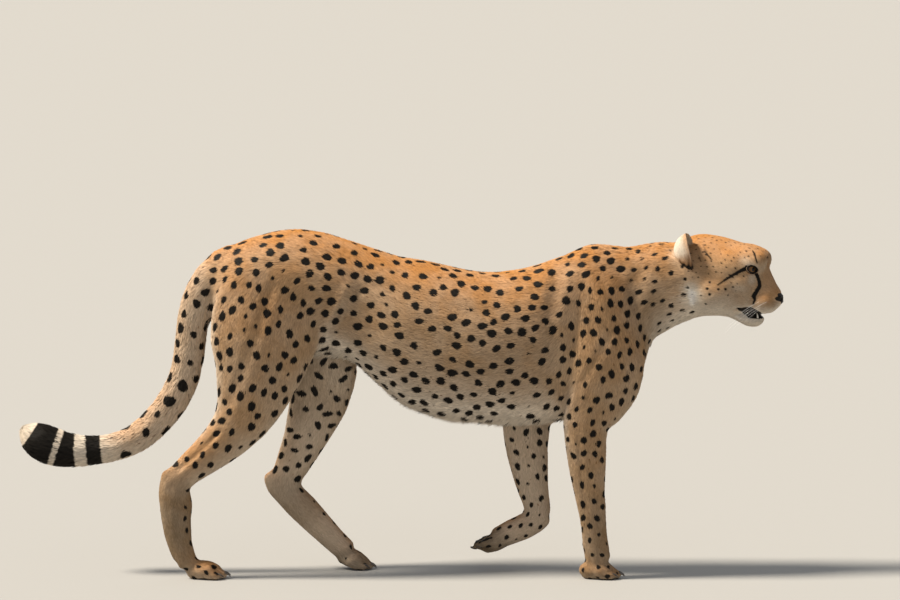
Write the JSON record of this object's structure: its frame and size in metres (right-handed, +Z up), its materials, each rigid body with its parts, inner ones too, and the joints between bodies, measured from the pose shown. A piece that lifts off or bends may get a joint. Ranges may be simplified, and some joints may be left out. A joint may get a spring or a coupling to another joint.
{
  "type": "walking cheetah figure",
  "caption": "Life-size still model of a slender spotted cheetah in mid-walk, its left forepaw lifted, long tail hanging and curling up at the tip.",
  "frame": {"origin": "on the floor, under the middle of the bounding box", "axes": "+X the way the animal walks, along its longest side; +Y to its left; +Z up"},
  "size_m": [1.8034, 0.24, 0.8207],
  "materials": {
    "body_fur": "short golden-orange coat with small round black spots, paler on the flanks and belly",
    "leg_fur": "short tan coat with small black spots and dashes",
    "paw_fur": "very short greyish-tan coat over dark pads",
    "face_fur": "very short coat, golden above and whitish below, with black tear lines",
    "ear_fur": "short coat, pale at the tip and rim with a black patch behind",
    "tail_fur": "longer soft coat with spots, then black rings and a white tip",
    "eyeball": "wet dark amber eye"
  },
  "bodies": {
    "root": {"ear_left": "ear_fur", "ear_right": "ear_fur", "eye_left": "eyeball", "eye_right": "eyeball", "forearm_left": "leg_fur", "forearm_right": "leg_fur", "forepaw_left": "paw_fur", "forepaw_right": "paw_fur", "head": "face_fur", "hindfoot_left": "paw_fur", "hindfoot_right": "paw_fur", "lower_jaw": "face_fur", "neck": "body_fur", "shank_left": "leg_fur", "shank_right": "leg_fur", "tail_middle": "tail_fur", "tail_root": "tail_fur", "tail_tip": "tail_fur", "thigh_left": "body_fur", "thigh_right": "body_fur", "trunk": "body_fur", "upper_arm_left": "body_fur", "upper_arm_right": "body_fur"}
  },
  "joints": []
}
